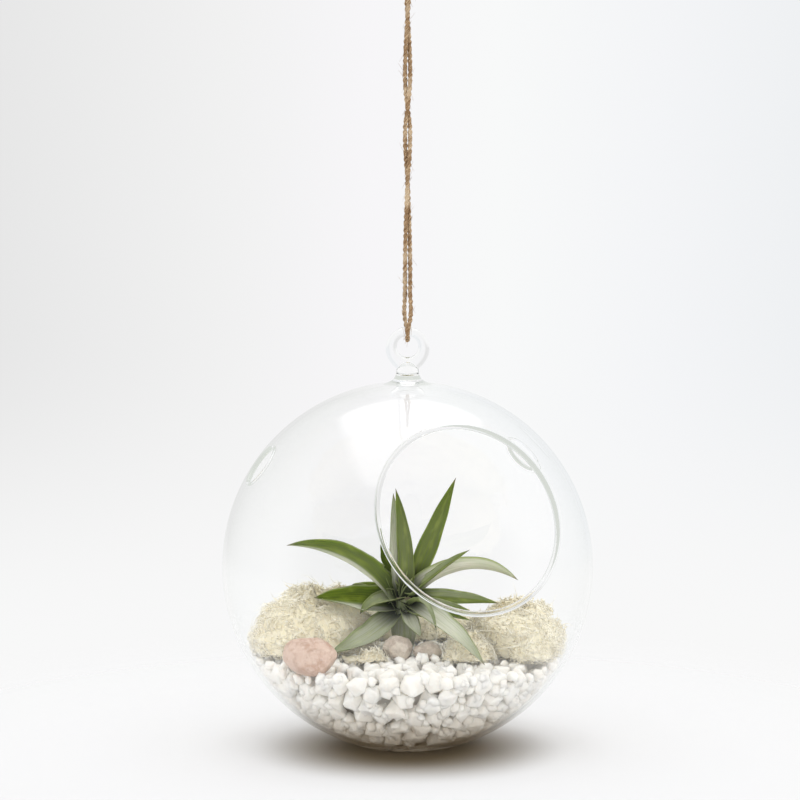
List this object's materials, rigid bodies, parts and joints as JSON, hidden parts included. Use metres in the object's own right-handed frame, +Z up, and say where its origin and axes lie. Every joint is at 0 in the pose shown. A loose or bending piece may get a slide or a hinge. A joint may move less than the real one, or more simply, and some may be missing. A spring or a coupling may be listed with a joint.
{
  "type": "globe terrarium",
  "caption": "Hanging blown-glass globe terrarium with a round side mouth, white marble gravel, stones, pale reindeer moss and a green air plant, on a jute twine loop.",
  "frame": {"origin": "middle of the flat under the globe", "axes": "+Z up through the hanging eye, -Y towards the front, with the mouth at the front right"},
  "size_m": [0.15, 0.1503, 0.3185],
  "materials": {
    "clear_glass": "clear, polished",
    "white_marble": "tumbled",
    "rose_stone": "matte",
    "grey_stone": "matte",
    "reindeer_moss": "dry, fibrous",
    "leaf_green": "satin leaf",
    "jute": "twisted natural fibre"
  },
  "bodies": {
    "root": {"glass_globe": "clear_glass", "gravel": "white_marble", "pink_stone": "rose_stone", "round_stone": "grey_stone", "flat_stone": "grey_stone", "moss_left": "reindeer_moss", "moss_right": "reindeer_moss", "moss_back": "reindeer_moss", "moss_front_left": "reindeer_moss", "moss_front_right": "reindeer_moss", "air_plant": "leaf_green", "twine": "jute", "twine_knot": "jute"}
  },
  "joints": []
}
